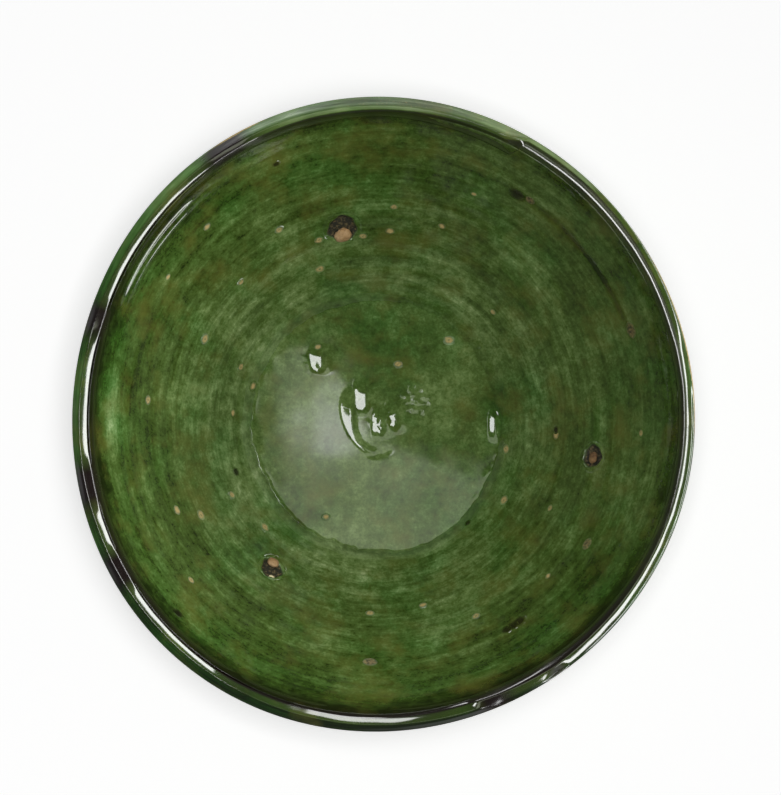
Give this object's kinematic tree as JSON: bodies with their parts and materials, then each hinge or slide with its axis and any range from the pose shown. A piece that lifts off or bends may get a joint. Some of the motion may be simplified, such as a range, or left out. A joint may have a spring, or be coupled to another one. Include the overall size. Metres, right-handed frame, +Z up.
{
  "type": "bowl",
  "caption": "Wide round earthenware bowl on a foot ring, wheel-thrown, with a rolled rim and a green glaze marked by kiln stilts, for serving food.",
  "frame": {"origin": "on the table, under the middle of the foot ring", "axes": "+Z up out of the bowl, +X to the right and +Y away from the viewer of the picture"},
  "size_m": [0.2477, 0.2528, 0.0927],
  "materials": {
    "bare_clay": "matte",
    "inside_glaze": "polished",
    "rim_glaze": "polished",
    "outside_glaze": "polished",
    "stilt_clay": "matte"
  },
  "bodies": {
    "root": {"foot_ring": "bare_clay", "clay_bowl": "bare_clay", "rim_coil": "bare_clay", "rim_glaze": "rim_glaze", "outside_glaze": "outside_glaze", "inside_glaze": "inside_glaze", "stilt_wad_1": "stilt_clay", "stilt_wad_2": "stilt_clay", "stilt_wad_3": "stilt_clay"}
  },
  "joints": []
}
